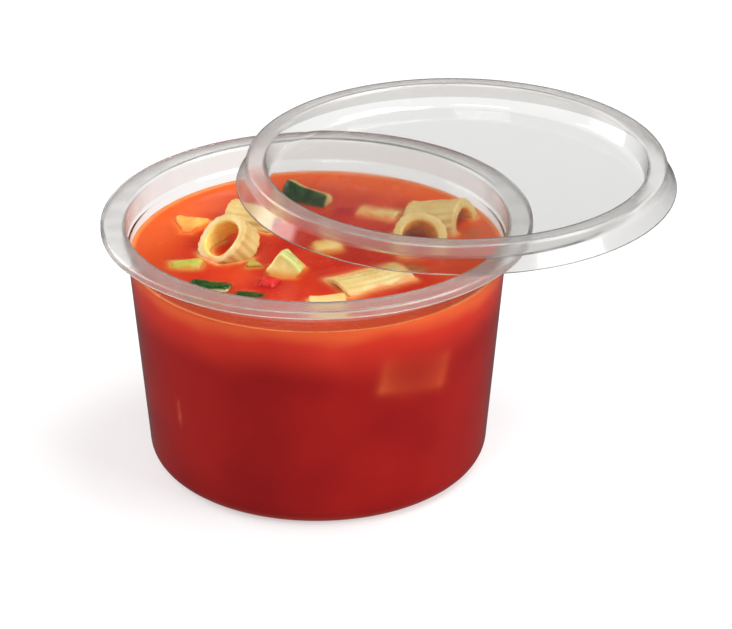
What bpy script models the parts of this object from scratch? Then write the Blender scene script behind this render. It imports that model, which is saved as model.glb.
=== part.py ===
"""Takeaway soup container: a clear cup of vegetable soup with its clear lid set down off-centre.

Run it with: blender --background --python part.py
Frame: metres, +Z up, the cup's axis on Z and the middle of its flat base at the origin.
The lid has slid to +X and +Y. The cup is open towards -X and -Y.
"""

import math

import bmesh
import bpy
from mathutils import Matrix, Vector

MM = 0.001
TURN_STEPS = 42
TOUCH_GAP = 0.3 * MM

# Cup: a moulded tub with a tapered wall, a stacking step and a flat rim with a turned-down lip.
CUP_HEIGHT = 70.7 * MM
CUP_WALL = 0.7 * MM
FOOT_RADIUS = 46.4 * MM
WALL_TAPER = 0.0827
CORNER_RADIUS = 6.0 * MM
STEP_HEIGHT = 63.6 * MM
STEP_OUT = 0.5 * MM
RIM_INNER_RADIUS = 53.0 * MM
RIM_OUTER_RADIUS = 58.5 * MM
RIM_LIP = 2.3 * MM
RIM_FILLET = 1.3 * MM

# Soup: filled to 10 mm below the rim.
SOUP_LEVEL = CUP_HEIGHT - 10.0 * MM

# Lid: a flared skirt, a raised ring that snaps over the rim and a recessed flat panel.
LID_CENTRE = Vector((38.3 * MM, 22.95 * MM, CUP_HEIGHT + TOUCH_GAP))
LID_HEIGHT = 7.2 * MM
LID_WALL = 0.5 * MM
SKIRT_RADIUS = 61.0 * MM
SKIRT_HEIGHT = 4.0 * MM
RING_OUTER_RADIUS = 58.5 * MM
RING_INNER_RADIUS = 53.3 * MM
PANEL_RADIUS = 52.0 * MM
RING_ROUND = 1.2 * MM

# Pasta: short ridged tubes. Each is (name, centre, heading, rise, length, outside diameter, flatness).
# Centres are in mm, z from the soup's surface. Heading and rise, in degrees, say where the tube
# points, and flatness is its height over its width.
PASTA_WALL = 2.6 * MM
PASTA_RIDGES = 12
RIDGE_DEPTH = 0.35 * MM
PASTA = (
    ("pasta_front_ring", (-24.3, -1.8, 2.3), -142.0, 49.0, 6.8, 16.0, 1.0),
    ("pasta_back_left", (-17.2, 17.8, -1.7), -22.0, 0.0, 14.6, 13.0, 1.0),
    ("pasta_right_ring", (27.5, 2.9, 0.1), -80.0, 44.0, 9.6, 15.2, 1.0),
    ("pasta_right_long", (33.9, 17.6, -1.7), -28.0, 16.0, 16.4, 14.4, 1.0),
    ("pasta_back_sunken", (16.9, 22.3, -5.8), -20.0, 0.0, 11.5, 13.0, 1.0),
    ("pasta_front_long", (14.5, -19.6, -2.3), 31.0, 0.0, 20.8, 15.0, 0.55),
    ("pasta_front_end", (3.3, -35.3, -2.2), 2.0, 0.0, 9.4, 10.0, 1.0),
)

# Diced vegetables: (name, size, centre, turn about Z, lean, dip, taper), in mm and degrees, z from
# the soup's surface. Lean tips a piece to the front and dip lowers its right-hand end. Taper
# narrows the front side by that share, or the back side where it is negative.
DICE_ROUND = 0.9 * MM
DICE = (
    ("courgette_cube", (7.6, 7.6, 7.6), (-8.4, -14.4, 1.2), 2.0, -18.4, -47.7, 0.0),
    ("courgette_chunk", (8.2, 6.4, 5.4), (3.2, 1.4, -0.9), 14.0, 0.0, 0.0, 0.0),
    ("carrot_wedge", (10.4, 9.4, 5.6), (-36.0, 13.9, -1.5), -10.0, 4.0, 0.0, 0.7),
    ("celery_bit", (4.4, 4.2, 3.4), (-17.3, -10.2, -0.5), 6.0, 0.0, 0.0, -0.55),
    ("pepper_front", (6.0, 5.4, 3.2), (-12.9, -22.3, -0.4), -20.0, 0.0, 0.0, 0.2),
    ("pepper_back", (5.2, 5.4, 3.4), (7.3, 23.2, -1.3), -10.0, 0.0, 0.0, 0.0),
    ("bean_end", (5.2, 4.2, 3.4), (26.7, -12.3, -1.0), -10.0, 0.0, 0.0, 0.0),
)

# Cut strips with one bowed side, the skin: (name, length, depth, thickness, bow, centre, turn,
# lean, dip), in mm and degrees. The skin faces the front.
STRIP_ROUND = 0.5 * MM
STRIPS = (
    ("courgette_skin_back", 14.4, 4.2, 5.0, 1.3, (-3.3, 31.4, 1.2), -34.0, -24.0, 9.0),
    ("courgette_skin_front", 11.4, 5.0, 3.4, 1.6, (-28.3, -23.6, -0.4), -10.0, -8.0, 0.0),
    ("celery_slice", 9.2, 5.2, 2.8, 1.6, (-35.2, -9.9, -0.6), 0.0, 4.0, -5.0),
    ("courgette_sliver", 8.4, 3.0, 2.4, 0.8, (-17.3, -28.6, -0.9), -12.0, 0.0, 0.0),
)

# Colours as (red, green, blue), roughness, transmission.
LOOKS = {
    "cup": ((0.86, 0.87, 0.87), 0.12, 0.9),
    "lid": ((0.88, 0.89, 0.89), 0.10, 0.9),
    "soup": ((0.60, 0.05, 0.02), 0.18, 0.0),
    "pasta": ((0.80, 0.62, 0.30), 0.40, 0.0),
    "courgette": ((0.72, 0.66, 0.26), 0.40, 0.0),
    "carrot": ((0.86, 0.38, 0.07), 0.40, 0.0),
    "celery": ((0.45, 0.44, 0.10), 0.40, 0.0),
    "bean": ((0.25, 0.20, 0.04), 0.40, 0.0),
    "pepper": ((0.62, 0.03, 0.02), 0.30, 0.0),
    "skin": ((0.02, 0.08, 0.02), 0.30, 0.0),
}


def clear_scene():
    for obj in list(bpy.data.objects):
        bpy.data.objects.remove(obj, do_unlink=True)


def look(name):
    """The named material, made the first time that it is asked for."""
    material = bpy.data.materials.get(name)
    if material is None:
        colour, roughness, transmission = LOOKS[name]
        material = bpy.data.materials.new(name)
        material.use_nodes = True
        shader = material.node_tree.nodes["Principled BSDF"]
        shader.inputs["Base Color"].default_value = (*colour, 1.0)
        shader.inputs["Roughness"].default_value = roughness
        shader.inputs["Metallic"].default_value = 0.0
        shader.inputs["Transmission Weight"].default_value = transmission
    return material


def finish(name, bm, material):
    """Turn a bmesh into a smooth-shaded object with sharp edges kept."""
    bmesh.ops.remove_doubles(bm, verts=bm.verts, dist=0.001 * MM)
    bmesh.ops.recalc_face_normals(bm, faces=bm.faces)
    mesh = bpy.data.meshes.new(name)
    bm.to_mesh(mesh)
    bm.free()
    mesh.shade_smooth()
    mesh.set_sharp_from_angle(angle=math.radians(40))
    obj = bpy.data.objects.new(name, mesh)
    obj.data.materials.append(look(material))
    bpy.context.scene.collection.objects.link(obj)
    return obj


def arc(centre_r, centre_z, radius, start, end, steps):
    """Points (r, z) along an arc, with angles in degrees from +r towards +z."""
    points = []
    for step in range(steps + 1):
        angle = math.radians(start + (end - start) * step / steps)
        points.append((centre_r + radius * math.cos(angle), centre_z + radius * math.sin(angle)))
    return points


def spin_profile(profile, steps, closed):
    """Turn a profile of (r, z) points round Z. A closed profile is a ring's cross-section."""
    bm = bmesh.new()
    verts = [bm.verts.new((r, 0.0, z)) for r, z in profile]
    edges = [bm.edges.new(pair) for pair in zip(verts, verts[1:])]
    if closed:
        edges.append(bm.edges.new((verts[-1], verts[0])))
    bmesh.ops.spin(
        bm,
        geom=verts + edges,
        cent=(0, 0, 0),
        axis=(0, 0, 1),
        angle=math.tau,
        steps=steps,
        use_merge=True,
    )
    bmesh.ops.remove_doubles(bm, verts=bm.verts, dist=0.001 * MM)
    return bm


def wall_radius(z, inset):
    """Radius of the cup's tapered wall at a height, measured inset from its outer face."""
    return FOOT_RADIUS + WALL_TAPER * z - inset * math.hypot(1.0, WALL_TAPER)


def base_corner(inset):
    """The rounded corner between base and wall, from the base outwards, inset from outside."""
    slope = math.degrees(math.atan(WALL_TAPER))
    centre_r = wall_radius(CORNER_RADIUS, CORNER_RADIUS)
    return arc(centre_r, CORNER_RADIUS, CORNER_RADIUS - inset, -90.0, -slope, 4)


def stacking_step(inset):
    """The wall's two points at its stacking step, from below upwards."""
    upper = STEP_HEIGHT + STEP_OUT
    return [
        (wall_radius(STEP_HEIGHT, inset), STEP_HEIGHT),
        (wall_radius(upper, inset) + STEP_OUT, upper),
    ]


def make_cup():
    """One moulded wall: base, corner, taper, step and rim, then back down the inside."""
    fillet_z = CUP_HEIGHT - RIM_FILLET
    under = CUP_HEIGHT - CUP_WALL
    lip_inner = RIM_OUTER_RADIUS - CUP_WALL
    outside = [(0.0, 0.0), *base_corner(0.0), *stacking_step(0.0)]
    outside += arc(RIM_INNER_RADIUS, fillet_z, RIM_FILLET - CUP_WALL, 180.0, 90.0, 2)
    outside += [(lip_inner, under), (lip_inner, CUP_HEIGHT - RIM_LIP)]
    lip = [(RIM_OUTER_RADIUS, CUP_HEIGHT - RIM_LIP)]
    lip += arc(lip_inner, under, CUP_WALL, 0.0, 90.0, 2)
    inside = arc(RIM_INNER_RADIUS, fillet_z, RIM_FILLET, 90.0, 180.0, 3)
    inside += reversed(stacking_step(CUP_WALL))
    inside += reversed(base_corner(CUP_WALL))
    inside.append((0.0, CUP_WALL))
    bm = spin_profile(outside + lip + inside, TURN_STEPS, closed=False)
    return finish("cup", bm, "cup")


def make_lid():
    """One formed sheet: flat panel, recess wall, raised ring and flared skirt."""
    top = LID_HEIGHT
    round_z = top - RING_ROUND
    inner_round = RING_ROUND - LID_WALL
    shoulder = RING_OUTER_RADIUS - 0.25 * MM
    upper = [(0.0, LID_WALL), (PANEL_RADIUS - 1.2 * MM, LID_WALL), (PANEL_RADIUS, 1.6 * MM)]
    upper += arc(RING_INNER_RADIUS + RING_ROUND - LID_WALL, round_z, RING_ROUND, 180.0, 90.0, 2)
    upper += arc(shoulder - RING_ROUND, round_z, RING_ROUND, 90.0, 0.0, 2)
    upper += [(RING_OUTER_RADIUS, SKIRT_HEIGHT), (SKIRT_RADIUS, 0.0)]
    under = [(SKIRT_RADIUS - LID_WALL, 0.0), (RING_OUTER_RADIUS - LID_WALL, SKIRT_HEIGHT)]
    under += arc(shoulder - RING_ROUND, round_z, inner_round, 0.0, 90.0, 2)
    under += arc(RING_INNER_RADIUS + RING_ROUND - LID_WALL, round_z, inner_round, 90.0, 180.0, 2)
    under += [(PANEL_RADIUS + LID_WALL, 1.4 * MM), (PANEL_RADIUS - 0.9 * MM, 0.0), (0.0, 0.0)]
    bm = spin_profile(upper + under, TURN_STEPS, closed=False)
    bmesh.ops.translate(bm, verts=bm.verts, vec=LID_CENTRE)
    return finish("lid", bm, "lid")


def pose(bm, centre, turn, lean, dip):
    """Lean a piece, dip its right-hand end, turn it about Z and set it at its centre, in mm."""
    place = Matrix.Translation(Vector(centre) * MM + Vector((0.0, 0.0, SOUP_LEVEL)))
    place @= Matrix.Rotation(math.radians(turn), 4, "Z")
    place @= Matrix.Rotation(math.radians(dip), 4, "Y")
    place @= Matrix.Rotation(math.radians(lean), 4, "X")
    bm.transform(place)


def pasta_bmesh(centre, heading, rise, length, diameter, flatness, grow):
    """A ridged tube, a little narrower at its middle. Grow makes it larger all round."""
    outer = diameter * MM / 2 + grow
    bore = diameter * MM / 2 - PASTA_WALL - grow
    half = length * MM / 2 + grow
    waist = 0.96
    profile = [(outer, -half), (outer * waist, 0.0), (outer, half), (bore, half), (bore, -half)]
    bm = spin_profile(profile, 2 * PASTA_RIDGES, closed=True)
    for vert in bm.verts:
        spoke = math.hypot(vert.co.x, vert.co.y)
        valley = round(math.atan2(vert.co.y, vert.co.x) / math.pi * PASTA_RIDGES) % 2
        if valley and spoke > outer * 0.9:
            vert.co.xy *= 1.0 - RIDGE_DEPTH / spoke
        edge = grow if spoke > (outer + bore) / 2 else -grow
        vert.co.x *= ((spoke - edge) * flatness + edge) / spoke
    bm.transform(Matrix.Rotation(math.radians(90.0), 4, "Y"))
    pose_tube = Matrix.Translation(Vector(centre) * MM + Vector((0.0, 0.0, SOUP_LEVEL)))
    pose_tube @= Matrix.Rotation(math.radians(heading), 4, "Z")
    pose_tube @= Matrix.Rotation(math.radians(-rise), 4, "Y")
    bm.transform(pose_tube)
    return bm


def dice_bmesh(size, centre, turn, lean, dip, taper, grow):
    """A hand-cut cube: its top a little smaller than its foot, and its edges rounded."""
    bm = bmesh.new()
    bmesh.ops.create_cube(bm, size=1.0)
    bmesh.ops.scale(bm, verts=bm.verts, vec=[side * MM + 2 * grow for side in size])
    for vert in bm.verts:
        if vert.co.z > 0:
            vert.co.xy *= 0.94
        if vert.co.y * taper < 0:
            narrowed = (abs(vert.co.x) - grow) * (1.0 - abs(taper)) + grow
            vert.co.x = math.copysign(narrowed, vert.co.x)
    round_edges(bm, DICE_ROUND, 2)
    pose(bm, centre, turn, lean, dip)
    return bm


def strip_bmesh(length, depth, thickness, bow, centre, turn, lean, dip, grow):
    """A slab with a bowed front side and narrowed ends."""
    half = length * MM / 2 + grow
    back = depth * MM / 2 + grow
    front = -depth * MM / 2 - grow
    narrow = length * MM * 0.43 + 1.5 * grow
    bend_steps = 6
    outline = [(-narrow, back), (-half, front * 0.2)]
    for step in range(1, bend_steps):
        across = -1.0 + 2.0 * step / bend_steps
        outline.append((half * across, front - bow * MM * (1.0 - across * across) * 0.5))
    outline += [(half, front * 0.2), (narrow, back)]
    bm = bmesh.new()
    floor = -thickness * MM / 2 - grow
    face = bm.faces.new([bm.verts.new((x, y, floor)) for x, y in outline])
    grown = bmesh.ops.extrude_face_region(bm, geom=[face])
    lifted = [item for item in grown["geom"] if isinstance(item, bmesh.types.BMVert)]
    bmesh.ops.translate(bm, verts=lifted, vec=(0.0, 0.0, thickness * MM + 2 * grow))
    round_edges(bm, STRIP_ROUND, 1)
    pose(bm, centre, turn, lean, dip)
    return bm


def round_edges(bm, radius, segments):
    """Round every edge of a slab or cube that turns by more than 50 degrees."""
    bmesh.ops.recalc_face_normals(bm, faces=bm.faces)
    sharp = [edge for edge in bm.edges if edge.calc_face_angle(0.0) > math.radians(50)]
    bmesh.ops.bevel(
        bm,
        geom=sharp,
        offset=radius,
        affect="EDGES",
        segments=segments,
        profile=0.5,
        material=-1,
        clamp_overlap=True,
    )


def garnish():
    """Name, material, shape function and its values for each piece that floats in the soup."""
    pieces = []
    for name, *values in PASTA:
        pieces.append((name, "pasta", pasta_bmesh, values))
    for name, *values in DICE:
        pieces.append((name, name.split("_")[0], dice_bmesh, values))
    for name, *values in STRIPS:
        material = "celery" if name.startswith("celery") else "skin"
        pieces.append((name, material, strip_bmesh, values))
    return pieces


def soup_bmesh():
    """The body of soup inside the cup, just clear of its wall and base."""
    inset = CUP_WALL + TOUCH_GAP
    profile = [(0.0, inset), *base_corner(inset)]
    profile += [(wall_radius(SOUP_LEVEL, inset), SOUP_LEVEL), (0.0, SOUP_LEVEL)]
    return spin_profile(profile, TURN_STEPS, closed=False)


def make_soup():
    """The soup, cut round each floating piece by a cutter a touch larger than the piece."""
    soup = finish("soup", soup_bmesh(), "soup")
    for name, material, shape, values in garnish():
        cutter = finish("cut_" + name, shape(*values, TOUCH_GAP), material)
        cutter.hide_render = True
        cutter.display_type = "WIRE"
        cut = soup.modifiers.new("round " + name, "BOOLEAN")
        cut.operation = "DIFFERENCE"
        cut.solver = "EXACT"
        cut.object = cutter
    return soup


def main():
    clear_scene()
    make_cup()
    make_lid()
    make_soup()
    for name, material, shape, values in garnish():
        finish(name, shape(*values, 0.0), material)


main()
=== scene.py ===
"""Looks of a takeaway soup container: a clear cup of tomato soup with pasta and vegetables,
and its clear lid lying off-centre on the rim.

Lengths in the shape functions are in millimetres. Every finished mesh is scaled to metres.
"""

import math

import bmesh
import bpy
from mathutils import Matrix, Vector, noise
from mathutils.bvhtree import BVHTree


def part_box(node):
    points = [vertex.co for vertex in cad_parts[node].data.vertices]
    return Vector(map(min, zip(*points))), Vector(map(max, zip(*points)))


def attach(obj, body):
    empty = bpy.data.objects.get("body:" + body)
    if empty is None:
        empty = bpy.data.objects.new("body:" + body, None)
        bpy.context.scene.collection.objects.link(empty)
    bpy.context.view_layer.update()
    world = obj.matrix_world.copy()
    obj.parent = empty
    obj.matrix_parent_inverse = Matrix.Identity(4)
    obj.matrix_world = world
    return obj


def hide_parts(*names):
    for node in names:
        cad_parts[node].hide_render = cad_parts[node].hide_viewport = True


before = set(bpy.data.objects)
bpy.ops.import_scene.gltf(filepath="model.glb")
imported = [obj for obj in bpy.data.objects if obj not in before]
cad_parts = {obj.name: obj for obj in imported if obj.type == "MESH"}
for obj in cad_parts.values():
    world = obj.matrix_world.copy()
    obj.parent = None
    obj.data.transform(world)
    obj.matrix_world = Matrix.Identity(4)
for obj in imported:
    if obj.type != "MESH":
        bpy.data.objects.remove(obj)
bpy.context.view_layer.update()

# Without a seed the noise, and so every food piece, would differ from run to run.
noise.seed_set(5)

MM = 0.001
TURN_STEPS = 192

# Sizes read from the frame, in millimetres.
CUP_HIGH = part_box("cup")[1] / MM
LID_LOW, LID_HIGH = (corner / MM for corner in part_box("lid"))
CUP_HEIGHT = CUP_HIGH.z
RIM_RADIUS = CUP_HIGH.x
SOUP_LEVEL = (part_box("soup")[1] / MM).z
LID_MIDDLE = (LID_LOW + LID_HIGH) / 2
LID_HEIGHT = LID_HIGH.z - LID_LOW.z
SKIRT_RADIUS = (LID_HIGH.x - LID_LOW.x) / 2

# Cup wall and rim.
CUP_WALL = 0.7
FOOT_RADIUS = 46.4
WALL_TAPER = 0.0827
CORNER_RADIUS = 6.0
STEP_HEIGHT = 63.6
STEP_OUT = 0.5
RIM_INNER_RADIUS = 53.0
RIM_LIP = 2.3
RIM_FILLET = 1.3

# Lid sheet.
LID_WALL = 0.5
SKIRT_HEIGHT = 4.0
RING_OUTER_RADIUS = SKIRT_RADIUS - 2.5
RING_INNER_RADIUS = 53.3
PANEL_RADIUS = 52.0
RING_ROUND = 1.2

# Pasta tubes.
PASTA_WALL = 2.6
PASTA_RIDGES = 20
RIDGE_DEPTH = 0.28


# ---------------------------------------------------------------- shapes


def arc(centre_r, centre_z, radius, start, end, steps):
    """Points (r, z) along an arc, with angles in degrees from +r towards +z."""
    points = []
    for step in range(steps + 1):
        angle = math.radians(start + (end - start) * step / steps)
        points.append((centre_r + radius * math.cos(angle), centre_z + radius * math.sin(angle)))
    return points


def stretch(first, last, steps):
    """Points on a straight line between two others, without its two ends."""
    return [
        tuple(a + (b - a) * step / steps for a, b in zip(first, last))
        for step in range(1, steps)
    ]


def spin_profile(profile, steps=TURN_STEPS, closed=False):
    """Turn a profile of (r, z) points round Z. A closed profile is a ring's cross-section."""
    bm = bmesh.new()
    verts = [bm.verts.new((r, 0.0, z)) for r, z in profile]
    edges = [bm.edges.new(pair) for pair in zip(verts, verts[1:])]
    if closed:
        edges.append(bm.edges.new((verts[-1], verts[0])))
    bmesh.ops.spin(
        bm,
        geom=verts + edges,
        cent=(0, 0, 0),
        axis=(0, 0, 1),
        angle=math.tau,
        steps=steps,
        use_merge=True,
    )
    bmesh.ops.remove_doubles(bm, verts=bm.verts, dist=0.0005)
    bmesh.ops.recalc_face_normals(bm, faces=bm.faces)
    return bm


def finish_piece(name, bm, materials, nodes):
    """Scale a bmesh to metres and make it a smooth piece that stands for its CAD nodes."""
    bm.transform(Matrix.Scale(MM, 4))
    bmesh.ops.recalc_face_normals(bm, faces=bm.faces)
    mesh = bpy.data.meshes.new(name)
    bm.to_mesh(mesh)
    bm.free()
    mesh.shade_smooth()
    piece = bpy.data.objects.new(name, mesh)
    bpy.context.scene.collection.objects.link(piece)
    for material in materials:
        piece.data.materials.append(material)
    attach(piece, "root")
    if nodes:
        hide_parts(*nodes)
    return piece


def wall_radius(z, inset):
    """Radius of the cup's tapered wall at a height, measured inset from its outer face."""
    return FOOT_RADIUS + WALL_TAPER * z - inset * math.hypot(1.0, WALL_TAPER)


def base_corner(inset, steps=10):
    """The rounded corner between base and wall, from the base outwards."""
    slope = math.degrees(math.atan(WALL_TAPER))
    centre_r = wall_radius(CORNER_RADIUS, CORNER_RADIUS)
    return arc(centre_r, CORNER_RADIUS, CORNER_RADIUS - inset, -90.0, -slope, steps)


def stacking_step(inset):
    """The wall's S-bend at its stacking step, from below upwards."""
    points = []
    bend = 8
    for step in range(bend + 1):
        share = step / bend
        z = STEP_HEIGHT - 0.4 + share * (STEP_OUT + 0.8)
        points.append((wall_radius(z, inset) + STEP_OUT * smooth(0.0, 1.0, share), z))
    return points


def smooth(low, high, value):
    """0 below low, 1 above high and a smooth rise between them."""
    share = min(max((value - low) / (high - low), 0.0), 1.0)
    return share * share * (3.0 - 2.0 * share)


def cup_bmesh():
    """One moulded wall: base, corner, taper, step and rim, then back down the inside."""
    fillet_z = CUP_HEIGHT - RIM_FILLET
    under = CUP_HEIGHT - CUP_WALL
    lip_foot = CUP_HEIGHT - RIM_LIP
    lip_inner = RIM_RADIUS - CUP_WALL
    outside = [(0.0, 0.0), *base_corner(0.0), *stacking_step(0.0)]
    outside += arc(RIM_INNER_RADIUS, fillet_z, RIM_FILLET - CUP_WALL, 180.0, 90.0, 5)
    outside += arc(lip_inner - 0.3, under - 0.3, 0.3, 90.0, 0.0, 3)
    outside += arc(RIM_RADIUS - CUP_WALL / 2, lip_foot + CUP_WALL / 2, CUP_WALL / 2, 180, 360, 6)
    inside = arc(lip_inner, under, CUP_WALL, 0.0, 90.0, 6)
    inside += arc(RIM_INNER_RADIUS, fillet_z, RIM_FILLET, 90.0, 180.0, 7)
    inside += reversed(stacking_step(CUP_WALL))
    inside += reversed(base_corner(CUP_WALL))
    inside.append((0.0, CUP_WALL))
    bm = spin_profile(outside + inside)
    for face in bm.faces:
        face.material_index = 1 if face.calc_center_median().z > STEP_HEIGHT + 1.2 else 0
    return bm


def lid_bmesh():
    """One formed sheet: flat panel, recess wall, raised ring and flared skirt."""
    round_z = LID_HEIGHT - RING_ROUND
    inner_round = RING_ROUND - LID_WALL
    shoulder = RING_OUTER_RADIUS - 0.25
    crown_in = RING_INNER_RADIUS + RING_ROUND - LID_WALL
    crown_out = shoulder - RING_ROUND
    bend = 1.5
    upper = [(0.0, LID_WALL)]
    upper += arc(PANEL_RADIUS - bend, LID_WALL + bend, bend, -90.0, -6.0, 6)
    upper += arc(crown_in, round_z, RING_ROUND, 180.0, 90.0, 6)
    upper += arc(crown_out, round_z, RING_ROUND, 90.0, 0.0, 6)
    upper += [(RING_OUTER_RADIUS, SKIRT_HEIGHT + 0.4), (RING_OUTER_RADIUS + 0.25, SKIRT_HEIGHT - 0.3)]
    upper += [(SKIRT_RADIUS - 0.1, 0.3), (SKIRT_RADIUS, 0.05)]
    under = [(SKIRT_RADIUS - LID_WALL, 0.0), (SKIRT_RADIUS - LID_WALL - 0.15, 0.3)]
    under.append((RING_OUTER_RADIUS - 0.2, SKIRT_HEIGHT - 0.4))
    under.append((RING_OUTER_RADIUS - LID_WALL, SKIRT_HEIGHT + 0.3))
    under += arc(crown_out, round_z, inner_round, 0.0, 90.0, 5)
    under += arc(crown_in, round_z, inner_round, 90.0, 180.0, 5)
    under += reversed(arc(PANEL_RADIUS - bend, LID_WALL + bend, bend + LID_WALL, -90.0, -6.0, 6))
    under.append((0.0, 0.0))
    bm = spin_profile(upper + under)
    for face in bm.faces:
        middle = face.calc_center_median()
        if middle.z > SKIRT_HEIGHT and middle.xy.length > PANEL_RADIUS + 0.4:
            face.material_index = 1
        elif middle.xy.length > RING_OUTER_RADIUS - 0.6:
            face.material_index = 2
        else:
            face.material_index = 0
    bmesh.ops.translate(bm, verts=bm.verts, vec=(LID_MIDDLE.x, LID_MIDDLE.y, LID_LOW.z))
    return bm


def middle(node):
    """The middle of a CAD node's box, in millimetres."""
    low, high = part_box(node)
    return (low + high) / (2 * MM)


def drift(point, size, seed):
    """A smooth random offset that changes over about size millimetres."""
    return noise.noise_vector(point / size + Vector((seed * 7.3, seed * 3.1, -seed * 5.7)))


def tube_profile(outer, bore, half, corner, long_steps):
    """A tube wall's cross-section with softened corners and points along both long sides."""
    profile = arc(outer - corner, half - corner, corner, 0.0, 90.0, 3)
    profile += arc(bore + corner, half - corner, corner, 90.0, 180.0, 3)
    profile += stretch((bore, half - corner), (bore, corner - half), long_steps)
    profile += arc(bore + corner, corner - half, corner, 180.0, 270.0, 3)
    profile += arc(outer - corner, corner - half, corner, 270.0, 360.0, 3)
    profile += stretch((outer, corner - half), (outer, half - corner), long_steps)
    return profile


def pasta_bmesh(node, heading, rise, length, diameter, flatness, bend, seed):
    """A cooked ridged tube: a little bent, flared and uneven. The angles are in degrees."""
    outer = diameter / 2
    bore = outer - PASTA_WALL
    half = length / 2
    bm = spin_profile(tube_profile(outer, bore, half, 0.6, 14), PASTA_RIDGES * 6, closed=True)
    # A tube's bore is marked in this attribute and painted brighter in its material: painted light for the
    # light that soaks through the thin wall.
    mask = bm.verts.layers.float.new("skin_and_bore_light")
    for vert in bm.verts:
        spoke = vert.co.xy.length
        skin = smooth(0.25, 0.95, (spoke - bore) / PASTA_WALL)
        vert[mask] = 1.0 - smooth(0.0, 0.2, (spoke - bore) / PASTA_WALL)
        along = vert.co.z / half
        ridge = math.cos(math.atan2(vert.co.y, vert.co.x) * PASTA_RIDGES)
        vert.co.xy *= 1.0 + skin * RIDGE_DEPTH * (ridge - 1.0) / 2 / spoke
        vert.co.xy *= 1.0 + 0.035 * (along * along - 0.5)
        wander = drift(vert.co, 9.0, seed)
        vert.co.xy += wander.xy * 0.75
        vert.co.z += wander.z * 0.6
        vert.co.x = vert.co.x * flatness - bend * along * along
    bm.transform(Matrix.Rotation(math.radians(90.0), 4, "Y"))
    place = Matrix.Translation(middle(node))
    place @= Matrix.Rotation(math.radians(heading), 4, "Z")
    place @= Matrix.Rotation(math.radians(-rise), 4, "Y")
    bm.transform(place)
    return bm


def cut_bmesh(node, size, turn, lean, dip, taper, corner, bow, seed, skin_and_bore_light):
    """A hand-cut piece with soft edges. Its front side is bowed, and rind says which sides carry
    skin: a mask from 0 on flesh to 1 on skin, kept as an attribute of the mesh."""
    bm = bmesh.new()
    bmesh.ops.create_cube(bm, size=2.0)
    bmesh.ops.subdivide_edges(bm, edges=bm.edges[:], cuts=13, use_grid_fill=True)
    mask = bm.verts.layers.float.new("skin_and_bore_light")
    half = Vector(size) / 2
    core = Vector([max(side - corner, 0.0) for side in half])
    for vert in bm.verts:
        spot = Vector([a * b for a, b in zip(vert.co, half)])
        held = Vector([min(max(a, -b), b) for a, b in zip(spot, core)])
        out = spot - held
        if out.length > 0:
            spot = held + out.normalized() * corner
        share = spot.x / half.x
        if spot.y < 0:
            spot.y -= bow * (1.0 - share * share) * (-spot.y / half.y)
        vert[mask] = rind_mask(skin_and_bore_light, spot, half)
        if spot.z > 0:
            spot.xy *= 1.0 - 0.06 * spot.z / half.z
        narrow = smooth(-0.9, 0.9, -spot.y / half.y if taper > 0 else spot.y / half.y)
        spot.x *= 1.0 - abs(taper) * narrow
        spot += drift(spot, 6.5, seed) * 0.6 + drift(spot, 2.2, seed) * 0.12
        vert.co = spot
    place = Matrix.Translation(middle(node))
    place @= Matrix.Rotation(math.radians(turn), 4, "Z")
    place @= Matrix.Rotation(math.radians(dip), 4, "Y")
    place @= Matrix.Rotation(math.radians(lean), 4, "X")
    bm.transform(place)
    return bm


def rind_mask(skin_and_bore_light, spot, half):
    """How much of a point on a cut piece is skin, for skin on its front, top, right side or none."""
    if skin_and_bore_light == "front":
        return smooth(0.6, 0.9, -spot.y / half.y)
    if skin_and_bore_light == "top":
        return smooth(0.3, 0.8, spot.z / half.z)
    if skin_and_bore_light == "right":
        return smooth(0.45, 0.95, spot.x / half.x)
    return 0.0


def soup_bmesh(floaters, shades):
    """The soup, up to just inside the cup's wall. Its surface climbs a little at the wall and at
    each floating piece, and is not quite level between them. What lies just under its skin is
    kept as two attributes: beneath is its colour and showing is how clearly it shows."""
    inset = CUP_WALL - 0.12
    edge = wall_radius(SOUP_LEVEL, inset)
    climb = 0.45
    profile = [(0.0, inset), *base_corner(inset)]
    profile += stretch(profile[-1], (edge, SOUP_LEVEL), 60)
    profile += [(wall_radius(SOUP_LEVEL + climb, inset), SOUP_LEVEL + climb)]
    rings = 100
    top = [(edge * (1.0 - ring / rings), SOUP_LEVEL) for ring in range(1, rings + 1)]
    bm = spin_profile(profile + top, 300)
    for vert in bm.verts:
        spoke = vert.co.xy.length
        if vert.co.z > SOUP_LEVEL - 0.01 and spoke < edge - 0.01:
            vert.co.z += climb * math.exp(-(edge - spoke) / 0.9)
            vert.co.z += 0.10 * drift(vert.co, 16.0, 3).z + 0.03 * drift(vert.co, 6.0, 4).z
            touch = floaters.find_nearest(vert.co)[3]
            vert.co.z += 0.42 * math.exp(-touch / 0.8)
    mark_beneath(bm, shades)
    for face in bm.faces:
        upward = face.normal.z > 0.2 and face.calc_center_median().z > SOUP_LEVEL - 1.5
        face.material_index = 1 if upward else 0
    return bm


def mark_beneath(bm, shades):
    """Mark each point of the soup's skin with the colour of the nearest piece beneath it. Shades
    are a search tree, a colour, a strength and a reach in millimetres for each kind of piece."""
    beneath = bm.verts.layers.float_color.new("beneath")
    showing = bm.verts.layers.float.new("showing")
    for vert in bm.verts:
        best = 0.0
        colour = linear(200, 60, 36)
        for tree, shade, strength, reach in shades:
            distance = tree.find_nearest(vert.co, reach * 5.0)[3]
            if distance is not None:
                clear = strength * math.exp(-distance / reach)
                if clear > best:
                    best = clear
                    colour = shade
        vert[showing] = best
        vert[beneath] = colour


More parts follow.
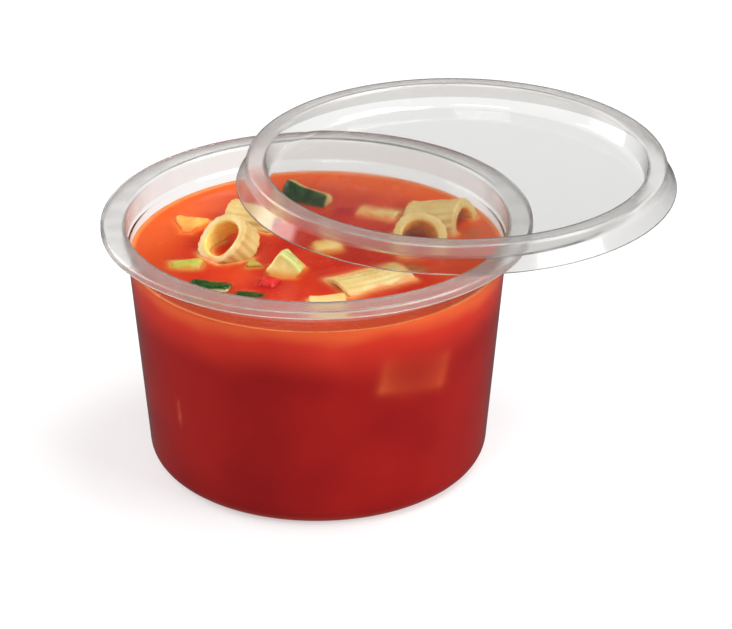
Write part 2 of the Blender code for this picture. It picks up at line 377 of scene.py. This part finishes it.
def sunk_slab(centre, size, heading, dip):
    """A search tree of a flat piece inside the soup, placed in millimetres and degrees."""
    bm = bmesh.new()
    bmesh.ops.create_cube(bm, size=1.0)
    place = Matrix.Translation(centre)
    place @= Matrix.Rotation(math.radians(heading), 4, "Z")
    place @= Matrix.Rotation(math.radians(dip), 4, "Y")
    place @= Matrix.Diagonal((*size, 1.0))
    bm.transform(place)
    return tree_and_free(bm)


def sunk_lump(centre, size, turn):
    """A search tree of a rounded lump inside the soup, its size along its own three axes."""
    bm = bmesh.new()
    bmesh.ops.create_icosphere(bm, subdivisions=4, radius=0.5)
    place = Matrix.Translation(centre)
    place @= Matrix.Rotation(math.radians(turn), 4, "Z")
    place @= Matrix.Diagonal((*size, 1.0))
    bm.transform(place)
    return tree_and_free(bm)


def tree_and_free(bm):
    tree = BVHTree.FromBMesh(bm)
    bm.free()
    return tree


# ------------------------------------------------------------- materials


def linear(red, green, blue):
    """A display colour of 0 to 255 as linear values."""
    values = []
    for level in (red, green, blue):
        share = level / 255
        values.append(share / 12.92 if share <= 0.04045 else ((share + 0.055) / 1.055) ** 2.4)
    return (*values, 1.0)


class Nodes:
    """A short way to add and join the nodes of a material or a group."""

    def __init__(self, tree):
        self.tree = tree

    def add(self, kind, **settings):
        node = self.tree.nodes.new(kind)
        for name, value in settings.items():
            setattr(node, name, value)
        return node

    def join(self, source, target):
        self.tree.links.new(source, target)

    def math(self, operation, first, second, clamp=False):
        node = self.add("ShaderNodeMath", operation=operation, use_clamp=clamp)
        for socket, value in zip(node.inputs, (first, second)):
            if isinstance(value, bpy.types.NodeSocket):
                self.join(value, socket)
            else:
                socket.default_value = value
        return node.outputs[0]

    def mix(self, factor, first, second, blend="MIX"):
        node = self.add("ShaderNodeMix", data_type="RGBA", blend_type=blend, clamp_factor=True)
        sockets = (node.inputs["Factor"], node.inputs[6], node.inputs[7])
        for socket, value in zip(sockets, (factor, first, second)):
            if isinstance(value, bpy.types.NodeSocket):
                self.join(value, socket)
            else:
                socket.default_value = value
        return node.outputs[2]

    def spread(self, value, low, high, to_low=0.0, to_high=1.0):
        node = self.add("ShaderNodeMapRange", interpolation_type="SMOOTHSTEP", clamp=True)
        self.join(value, node.inputs["Value"])
        for name, number in zip(("From Min", "From Max", "To Min", "To Max"), (low, high, to_low, to_high)):
            if isinstance(number, bpy.types.NodeSocket):
                self.join(number, node.inputs[name])
            else:
                node.inputs[name].default_value = number
        return node.outputs["Result"]

    def object_point(self):
        return self.add("ShaderNodeTexCoord").outputs["Object"]

    def cloud(self, size, detail=2.0, roughness=0.5, vector=None):
        """Noise that changes over about size millimetres."""
        node = self.add("ShaderNodeTexNoise")
        self.join(vector or self.object_point(), node.inputs["Vector"])
        if isinstance(size, bpy.types.NodeSocket):
            self.join(self.math("DIVIDE", 1.0 / MM, size), node.inputs["Scale"])
        else:
            node.inputs["Scale"].default_value = 1.0 / (size * MM)
        node.inputs["Detail"].default_value = detail
        node.inputs["Roughness"].default_value = roughness
        return node.outputs["Fac"]


def new_group(name, inputs, outputs):
    """A shader node group, with its sockets given as (name, kind, value)."""
    group = bpy.data.node_groups.new(name, "ShaderNodeTree")
    for label, kind, value in inputs:
        socket = group.interface.new_socket(name=label, in_out="INPUT", socket_type=kind)
        socket.default_value = value
    for label, kind in outputs:
        group.interface.new_socket(name=label, in_out="OUTPUT", socket_type=kind)
    nodes = Nodes(group)
    return group, nodes, nodes.add("NodeGroupInput"), nodes.add("NodeGroupOutput")


def uneven_gloss_group():
    """Roughness that wanders between two values, as on a wet surface."""
    group, nodes, given, result = new_group(
        "uneven_gloss",
        (
            ("Size", "NodeSocketFloat", 4.0),
            ("Wet", "NodeSocketFloat", 0.15),
            ("Dull", "NodeSocketFloat", 0.4),
        ),
        (("Roughness", "NodeSocketFloat"),),
    )
    patch = nodes.cloud(given.outputs["Size"], detail=3.0)
    rough = nodes.spread(patch, 0.38, 0.64, given.outputs["Wet"], given.outputs["Dull"])
    nodes.join(rough, result.inputs["Roughness"])
    return group


def soaked_group():
    """A mask of what the soup has stained: all below a height, then fading above it."""
    group, nodes, given, result = new_group(
        "soaked",
        (("Height", "NodeSocketFloat", 0.06), ("Fade", "NodeSocketFloat", 0.002)),
        (("Mask", "NodeSocketFloat"),),
    )
    split = nodes.add("ShaderNodeSeparateXYZ")
    nodes.join(nodes.object_point(), split.inputs[0])
    ragged = nodes.math("MULTIPLY", nodes.math("SUBTRACT", nodes.cloud(4.0, 1.0), 0.5), 0.0016)
    height = nodes.math("ADD", split.outputs["Z"], ragged)
    top = nodes.math("ADD", given.outputs["Height"], given.outputs["Fade"])
    mask = nodes.spread(height, given.outputs["Height"], top, 1.0, 0.0)
    nodes.join(mask, result.inputs["Mask"])
    return group


def mottle_group():
    """Two colours in soft patches of a given size."""
    group, nodes, given, result = new_group(
        "mottle",
        (
            ("Colour", "NodeSocketColor", (0.5, 0.5, 0.5, 1.0)),
            ("Other Colour", "NodeSocketColor", (0.4, 0.4, 0.4, 1.0)),
            ("Size", "NodeSocketFloat", 3.0),
        ),
        (("Colour", "NodeSocketColor"),),
    )
    patch = nodes.spread(nodes.cloud(given.outputs["Size"], 2.0, 0.45), 0.28, 0.72)
    nodes.join(nodes.mix(patch, given.outputs["Colour"], given.outputs["Other Colour"]), result.inputs[0])
    return group


UNEVEN_GLOSS = uneven_gloss_group()
SOAKED = soaked_group()
MOTTLE = mottle_group()


def use_group(nodes, group, **values):
    """Place a group in a material with its own values. Underscores stand for spaces."""
    node = nodes.add("ShaderNodeGroup", node_tree=group)
    for name, value in values.items():
        socket = node.inputs[name.replace("_", " ")]
        if isinstance(value, bpy.types.NodeSocket):
            nodes.join(value, socket)
        else:
            socket.default_value = value
    return node.outputs[0]


def new_material(name):
    """A material with a Principled shader joined to its output."""
    material = bpy.data.materials.new(name)
    material.use_nodes = True
    nodes = Nodes(material.node_tree)
    shader = material.node_tree.nodes["Principled BSDF"]
    output = material.node_tree.nodes["Material Output"]
    return material, nodes, shader, output


def clear_plastic(name, tint, milk, roughness, mirror):
    """Thin clear plastic with some milkiness. Lamps and soft light pass straight through it."""
    material, nodes, shader, output = new_material(name)
    gloss = use_group(nodes, UNEVEN_GLOSS, Size=9.0, Wet=roughness, Dull=roughness * 1.7)
    nodes.join(gloss, shader.inputs["Roughness"])
    shader.inputs["Base Color"].default_value = tint
    shader.inputs["IOR"].default_value = 1.49
    shader.inputs["Specular IOR Level"].default_value = mirror
    shader.inputs["Transmission Weight"].default_value = 1.0 - milk
    through = nodes.add("ShaderNodeBsdfTransparent")
    through.inputs["Color"].default_value = linear(244, 245, 245)
    path = nodes.add("ShaderNodeLightPath")
    soft = nodes.math("MAXIMUM", path.outputs["Is Shadow Ray"], path.outputs["Is Diffuse Ray"])
    blend = nodes.add("ShaderNodeMixShader")
    nodes.join(soft, blend.inputs[0])
    nodes.join(shader.outputs[0], blend.inputs[1])
    nodes.join(through.outputs[0], blend.inputs[2])
    nodes.join(blend.outputs[0], output.inputs["Surface"])
    return material


def show_beneath(nodes, colour):
    """Mix in what lies just under the soup's skin."""
    beneath = nodes.add("ShaderNodeAttribute", attribute_name="beneath")
    showing = nodes.add("ShaderNodeAttribute", attribute_name="showing")
    return nodes.mix(nodes.spread(showing.outputs["Fac"], 0.0, 1.0), colour, beneath.outputs["Color"])


def soup_body():
    """The soup seen through the wall: orange near its surface, deep red below."""
    material, nodes, shader, _ = new_material("soup_body")
    split = nodes.add("ShaderNodeSeparateXYZ")
    nodes.join(nodes.object_point(), split.inputs[0])
    ragged = nodes.math("MULTIPLY", nodes.math("SUBTRACT", nodes.cloud(18.0, 1.0), 0.5), 0.006)
    height = nodes.math("ADD", split.outputs["Z"], ragged)
    level = SOUP_LEVEL * MM
    deep = use_group(
        nodes, MOTTLE, Colour=linear(144, 12, 14), Other_Colour=linear(160, 22, 18), Size=22.0
    )
    upper = nodes.mix(nodes.spread(height, level - 0.017, level - 0.003), deep, linear(206, 48, 32))
    # Orange in the last few millimetres under the surface.
    orange_near_top = nodes.mix(nodes.spread(height, level - 0.0055, level), upper, linear(226, 92, 48))
    foot = nodes.mix(nodes.spread(split.outputs["Z"], 0.0008, 0.0036, 1.0, 0.0), orange_near_top, linear(196, 60, 36))
    nodes.join(show_beneath(nodes, foot), shader.inputs["Base Color"])
    shader.inputs["Roughness"].default_value = 0.6
    shader.inputs["Specular IOR Level"].default_value = 0.05
    shader.inputs["Subsurface Weight"].default_value = 0.1
    shader.inputs["Subsurface Scale"].default_value = 0.002
    return material


def soup_surface():
    """The soup's wet surface: redder in the middle and more orange towards the wall, where it has painted
    shade at the front, painted light at the back and a pale painted highlight at the very edge.
    """
    material, nodes, shader, _ = new_material("soup_surface")
    split = nodes.add("ShaderNodeSeparateXYZ")
    nodes.join(nodes.object_point(), split.inputs[0])
    flat = nodes.add("ShaderNodeCombineXYZ")
    nodes.join(split.outputs["X"], flat.inputs["X"])
    nodes.join(split.outputs["Y"], flat.inputs["Y"])
    spoke = nodes.add("ShaderNodeVectorMath", operation="LENGTH")
    nodes.join(flat.outputs[0], spoke.inputs[0])
    ragged = nodes.math("MULTIPLY", nodes.math("SUBTRACT", nodes.cloud(16.0, 1.0), 0.5), 0.012)
    reach = nodes.math("ADD", spoke.outputs["Value"], ragged)
    broth = use_group(
        nodes, MOTTLE, Colour=linear(182, 36, 22), Other_Colour=linear(202, 56, 26), Size=15.0
    )
    # Painted shade and light: the band by the wall is darker at the front and brighter at the back.
    painted_edge_light_and_shade = nodes.mix(nodes.spread(split.outputs["Y"], -0.030, 0.030), linear(184, 62, 28), linear(232, 92, 28))
    edge = nodes.mix(nodes.spread(reach, 0.030, 0.0495), broth, painted_edge_light_and_shade)
    # Painted highlight: a pale band where the soup meets the wall, standing for the meniscus glint.
    rim = nodes.mix(nodes.spread(spoke.outputs["Value"], 0.0490, 0.0506), edge, linear(240, 140, 76))
    nodes.join(show_beneath(nodes, rim), shader.inputs["Base Color"])
    gloss = use_group(nodes, UNEVEN_GLOSS, Size=9.0, Wet=0.12, Dull=0.30)
    nodes.join(gloss, shader.inputs["Roughness"])
    shader.inputs["Specular IOR Level"].default_value = 0.2
    shader.inputs["Subsurface Weight"].default_value = 0.15
    shader.inputs["Subsurface Scale"].default_value = 0.002
    ripple = nodes.add("ShaderNodeBump")
    ripple.inputs["Strength"].default_value = 0.06
    ripple.inputs["Distance"].default_value = 0.0004
    nodes.join(nodes.cloud(5.0, 2.0), ripple.inputs["Height"])
    nodes.join(ripple.outputs["Normal"], shader.inputs["Normal"])
    return material


def food(name, colour, other, stain, size=3.0, wet=0.16, dull=0.42, tide=0.0, fade=3.0, skin_and_bore_light=None):
    """Wet food that the soup has stained from below. Tide is the stain's height over the soup
    and fade how far it thins out, in millimetres. Rind is a pair of colours for its skin on cut pieces; on a
    pasta tube it colours the bore, brighter as painted light soaking through the wall."""
    material, nodes, shader, _ = new_material(name)
    flesh = use_group(nodes, MOTTLE, Colour=colour, Other_Colour=other, Size=size)
    if skin_and_bore_light:
        skin = use_group(nodes, MOTTLE, Colour=skin_and_bore_light[0], Other_Colour=skin_and_bore_light[1], Size=2.0)
        mask = nodes.add("ShaderNodeAttribute", attribute_name="skin_and_bore_light")
        flesh = nodes.mix(mask.outputs["Fac"], flesh, skin)
    mask = use_group(nodes, SOAKED, Height=(SOUP_LEVEL + tide) * MM, Fade=fade * MM)
    nodes.join(nodes.mix(mask, flesh, stain), shader.inputs["Base Color"])
    gloss = use_group(nodes, UNEVEN_GLOSS, Size=2.5, Wet=wet, Dull=dull)
    nodes.join(gloss, shader.inputs["Roughness"])
    shader.inputs["Specular IOR Level"].default_value = 0.4
    shader.inputs["Subsurface Weight"].default_value = 0.2
    shader.inputs["Subsurface Scale"].default_value = 0.0025
    grain = nodes.add("ShaderNodeBump")
    grain.inputs["Strength"].default_value = 0.12
    grain.inputs["Distance"].default_value = 0.0002
    nodes.join(nodes.cloud(0.9, 2.0), grain.inputs["Height"])
    nodes.join(grain.outputs["Normal"], shader.inputs["Normal"])
    return material


# ---------------------------------------------------------------- pieces

ORANGE_STAIN = linear(226, 120, 50)

# Wall and rim are one plastic; the rim's greyer tint is painted shade, set for how dark the rim looks.
CUP_PLASTIC = [
    clear_plastic("cup_wall", linear(254, 254, 253), 0.0, 0.04, 0.05),
    clear_plastic("cup_rim", linear(247, 245, 243), 0.05, 0.16, 0.2),
]
# Panel, ring and skirt are one sheet; the greyer tints of ring and skirt are painted shade, set for how dark
# each part looks.
LID_PLASTIC = [
    clear_plastic("lid_panel", linear(252, 252, 251), 0.0, 0.04, 0.06),
    clear_plastic("lid_ring", linear(247, 245, 243), 0.06, 0.16, 0.2),
    clear_plastic("lid_skirt", linear(238, 237, 235), 0.0, 0.08, 0.08),
]
PASTA = food(
    "cooked_pasta",
    linear(224, 198, 132),
    linear(214, 178, 108),
    ORANGE_STAIN,
    size=5.0,
    fade=1.1,
    # The bore colours are painted light: a brighter yellow for light soaking through the thin pasta wall.
    skin_and_bore_light=(linear(255, 226, 128), linear(252, 214, 112)),
)
COURGETTE = food(
    "courgette_flesh",
    linear(246, 228, 152),
    linear(238, 214, 130),
    linear(236, 160, 70),
    skin_and_bore_light=(linear(212, 214, 132), linear(202, 206, 118)),
)
SKIN = food(
    "courgette_skin",
    linear(226, 206, 134),
    linear(206, 190, 110),
    linear(90, 56, 26),
    tide=-1.2,
    fade=1.2,
    wet=0.14,
    dull=0.34,
    skin_and_bore_light=(linear(18, 54, 20), linear(34, 80, 30)),
)
CARROT = food("carrot", linear(250, 188, 94), linear(246, 166, 72), linear(238, 116, 50), fade=1.6)
CELERY = food("celery", linear(188, 186, 84), linear(172, 168, 66), linear(206, 112, 50), fade=1.2)
PEPPER = food("red_pepper", linear(206, 34, 32), linear(226, 62, 52), linear(186, 30, 28), wet=0.1)
BEAN = food("bean_end", linear(150, 112, 50), linear(128, 92, 38), linear(186, 76, 38), fade=1.2)

# Node, heading, rise, length, diameter, flatness, bend and seed of each pasta tube.
TUBES = (
    ("pasta_front_ring", -142.0, 49.0, 6.8, 16.0, 1.0, 0.0, 1),
    ("pasta_back_left", -22.0, 0.0, 14.6, 13.0, 1.0, 0.5, 2),
    ("pasta_right_ring", -80.0, 44.0, 9.6, 15.2, 1.0, 0.2, 3),
    ("pasta_right_long", -28.0, 16.0, 16.4, 14.4, 1.0, 0.3, 4),
    ("pasta_back_sunken", -20.0, 0.0, 11.5, 13.0, 1.0, 0.3, 5),
    ("pasta_front_long", 31.0, 0.0, 20.8, 15.0, 0.55, 0.5, 6),
    ("pasta_front_end", 2.0, 0.0, 9.4, 10.0, 1.0, 0.2, 7),
)

# Node, material, slot, size, turn, lean, dip, taper, corner, bow, seed and rind of each cut piece.
CUTS = (
    (
        "courgette_cube", COURGETTE, "courgette", (7.6, 7.6, 7.6),
        2.0, -18.4, -47.7, 0.0, 0.8, 0.0, 11, "right",
    ),
    (
        "courgette_chunk", COURGETTE, "courgette", (8.2, 6.4, 5.4),
        14.0, 0.0, 0.0, 0.0, 1.0, 0.0, 12, "right",
    ),
    ("carrot_wedge", CARROT, "carrot", (10.4, 9.4, 5.6), -10.0, 4.0, 0.0, 0.7, 1.1, 0.0, 13, ""),
    ("celery_bit", CELERY, "celery", (4.4, 4.2, 3.4), 6.0, 0.0, 0.0, -0.55, 0.8, 0.0, 14, ""),
    ("pepper_front", PEPPER, "pepper", (6.0, 5.4, 3.2), -20.0, 0.0, 0.0, 0.2, 1.0, 0.0, 15, ""),
    ("pepper_back", PEPPER, "pepper", (5.2, 5.4, 3.4), -10.0, 0.0, 0.0, 0.0, 1.1, 0.0, 16, ""),
    ("bean_end", BEAN, "bean", (5.2, 4.2, 3.4), -10.0, 0.0, 0.0, 0.0, 1.1, 0.0, 17, ""),
    (
        "courgette_skin_back", SKIN, "courgette_skin", (14.4, 4.2, 5.0),
        -34.0, -24.0, 9.0, 0.0, 0.5, 0.6, 18, "front",
    ),
    (
        "courgette_skin_front", SKIN, "courgette_skin", (11.4, 5.0, 3.4),
        -10.0, -8.0, 0.0, 0.0, 0.9, 0.8, 19, "top",
    ),
    ("celery_slice", CELERY, "celery", (9.2, 5.2, 2.8), 0.0, 4.0, -5.0, 0.0, 1.0, 0.8, 20, ""),
    (
        "courgette_sliver", SKIN, "courgette_skin", (8.4, 3.0, 2.4),
        -12.0, 0.0, 0.0, 0.0, 0.7, 0.4, 21, "top",
    ),
)

# Colour, strength and reach in millimetres of each kind of piece where thin soup covers it.
UNDER_SOUP = {
    "pasta": (linear(240, 176, 104), 0.85, 0.9),
    "courgette": (linear(236, 150, 70), 0.7, 0.8),
    "courgette_skin": (linear(84, 66, 30), 0.8, 0.6),
    "carrot": (linear(246, 132, 52), 0.85, 1.2),
    "celery": (linear(200, 150, 66), 0.8, 0.8),
    "pepper": (linear(176, 24, 26), 0.9, 1.2),
    "bean": (linear(150, 96, 44), 0.8, 0.9),
}

# Pieces deep in the soup that show faintly through it: a pasta, an edge and two lumps.
DEEP_PIECES = [
    (sunk_slab((24.6, -39.2, 44.4), (18.0, 2.4, 8.0), 33.0, 9.0), linear(226, 104, 54), 0.8, 1.5),
    (sunk_lump((-36.6, -31.6, 26.9), (0.8, 0.8, 8.0), 0.0), linear(214, 96, 58), 0.6, 0.5),
    (sunk_lump((3.5, -44.6, 55.5), (8.0, 8.0, 9.0), 0.0), linear(222, 84, 48), 0.6, 1.6),
    (sunk_lump((42.0, 10.0, SOUP_LEVEL - 1.8), (6.0, 5.0, 2.6), 10.0), linear(150, 92, 40), 0.9, 1.0),
]


def make_garnish():
    """Every floating piece, one search tree of all their faces and the shades they give to the
    soup over them."""
    together = bmesh.new()
    kinds = {slot: bmesh.new() for slot in UNDER_SOUP}
    for node, *values in TUBES:
        bm = pasta_bmesh(node, *values)
        add_copy(together, bm)
        add_copy(kinds["pasta"], bm)
        finish_piece(node + "_cooked", bm, [PASTA], [node])
    for node, material, slot, *values in CUTS:
        bm = cut_bmesh(node, *values)
        add_copy(together, bm)
        add_copy(kinds[slot], bm)
        finish_piece(node + "_cut", bm, [material], [node])
    shades = [(tree_and_free(bm), *UNDER_SOUP[slot]) for slot, bm in kinds.items()]
    return tree_and_free(together), shades


def add_copy(target, source):
    """Add a copy of one bmesh's faces to another."""
    mesh = bpy.data.meshes.new("copy")
    source.to_mesh(mesh)
    target.from_mesh(mesh)
    bpy.data.meshes.remove(mesh)


floaters, shades = make_garnish()
soup_mesh = soup_bmesh(floaters, shades + DEEP_PIECES)
finish_piece("soup_filled", soup_mesh, [soup_body(), soup_surface()], ["soup"])
finish_piece("cup_clear", cup_bmesh(), CUP_PLASTIC, ["cup"])
finish_piece("lid_clear", lid_bmesh(), LID_PLASTIC, ["lid"])


# ------------------------------------------------------ floor, light, camera


def make_floor():
    """A white floor that keeps the object's shadow and meets a white background."""
    bm = bmesh.new()
    bmesh.ops.create_grid(bm, x_segments=1, y_segments=1, size=6.0)
    mesh = bpy.data.meshes.new("floor")
    bm.to_mesh(mesh)
    bm.free()
    floor = bpy.data.objects.new("floor", mesh)
    bpy.context.scene.collection.objects.link(floor)
    material, nodes, shader, output = new_material("floor_white")
    shader.inputs["Base Color"].default_value = (0.9, 0.9, 0.9, 1.0)
    shader.inputs["Roughness"].default_value = 0.9
    shader.inputs["Specular IOR Level"].default_value = 0.0
    path = nodes.add("ShaderNodeLightPath")
    glow = nodes.add("ShaderNodeEmission")
    lift = nodes.math("MULTIPLY", path.outputs["Is Camera Ray"], 0.16)
    level = nodes.math("ADD", studio_level(nodes, path), lift)
    nodes.join(level, glow.inputs["Strength"])
    through = nodes.math("ADD", path.outputs["Is Transmission Ray"], path.outputs["Is Glossy Ray"])
    seen = nodes.math("MULTIPLY", path.outputs["Is Camera Ray"], 0.38)
    share = nodes.math("ADD", seen, through, clamp=True)
    blend = nodes.add("ShaderNodeMixShader")
    nodes.join(share, blend.inputs[0])
    nodes.join(shader.outputs[0], blend.inputs[1])
    nodes.join(glow.outputs[0], blend.inputs[2])
    nodes.join(blend.outputs[0], output.inputs["Surface"])
    floor.data.materials.append(material)


def studio_level(nodes, path):
    """White to the camera, near white through plastic, dark once mirrored and soft elsewhere."""
    mirrored = nodes.math("MINIMUM", path.outputs["Glossy Depth"], 1.0)
    direct = nodes.math("SUBTRACT", 1.0, mirrored)
    through = path.outputs["Is Transmission Ray"]
    seen = nodes.math("ADD", nodes.math("MULTIPLY", path.outputs["Is Camera Ray"], 0.62), 0.38)
    seen = nodes.math("ADD", seen, nodes.math("MULTIPLY", through, 0.62))
    bounced = nodes.math("MULTIPLY", mirrored, 0.1)
    return nodes.math("ADD", nodes.math("MULTIPLY", seen, direct), bounced)


def make_world():
    """White where it is seen, and a softer light elsewhere."""
    world = bpy.data.worlds.new("studio")
    bpy.context.scene.world = world
    world.use_nodes = True
    nodes = Nodes(world.node_tree)
    background = world.node_tree.nodes["Background"]
    background.inputs["Color"].default_value = (1.0, 1.0, 1.0, 1.0)
    nodes.join(studio_level(nodes, nodes.add("ShaderNodeLightPath")), background.inputs["Strength"])


def make_lamp(name, place, target, size, power):
    """A white square area lamp that points at a target."""
    lamp = bpy.data.lights.new(name, "AREA")
    lamp.shape = "SQUARE"
    lamp.size = size
    lamp.energy = power
    holder = bpy.data.objects.new(name, lamp)
    holder.location = place
    holder.rotation_euler = (Vector(target) - Vector(place)).to_track_quat("-Z", "Y").to_euler()
    bpy.context.scene.collection.objects.link(holder)


def make_camera():
    """Slightly above, straight from the front, with a long lens."""
    rise = math.radians(26.5)
    target = Vector((0.0133, 0.0, 0.0408))
    back = Vector((0.0, -math.cos(rise), math.sin(rise)))
    data = bpy.data.cameras.new("camera")
    data.sensor_width = 36.0
    data.lens = 152.0
    data.clip_start = 0.01
    data.clip_end = 50.0
    camera = bpy.data.objects.new("camera", data)
    camera.location = target + back * 0.85
    camera.rotation_euler = (-back).to_track_quat("-Z", "Y").to_euler()
    bpy.context.scene.collection.objects.link(camera)
    bpy.context.scene.camera = camera


make_floor()
make_world()
make_lamp("key", (0.40, 0.12, 0.95), (0.0, 0.0, 0.04), 0.5, 5.0)
make_lamp("front", (-0.22, -0.60, 0.95), (0.0, 0.0, 0.04), 0.5, 4.0)
make_lamp("right", (0.75, -0.40, 0.55), (0.0, 0.0, 0.04), 0.6, 5.6)
make_lamp("side", (-0.70, 0.25, 0.35), (0.0, 0.0, 0.04), 0.5, 3.0)
make_camera()
bpy.context.scene.view_settings.view_transform = "Standard"
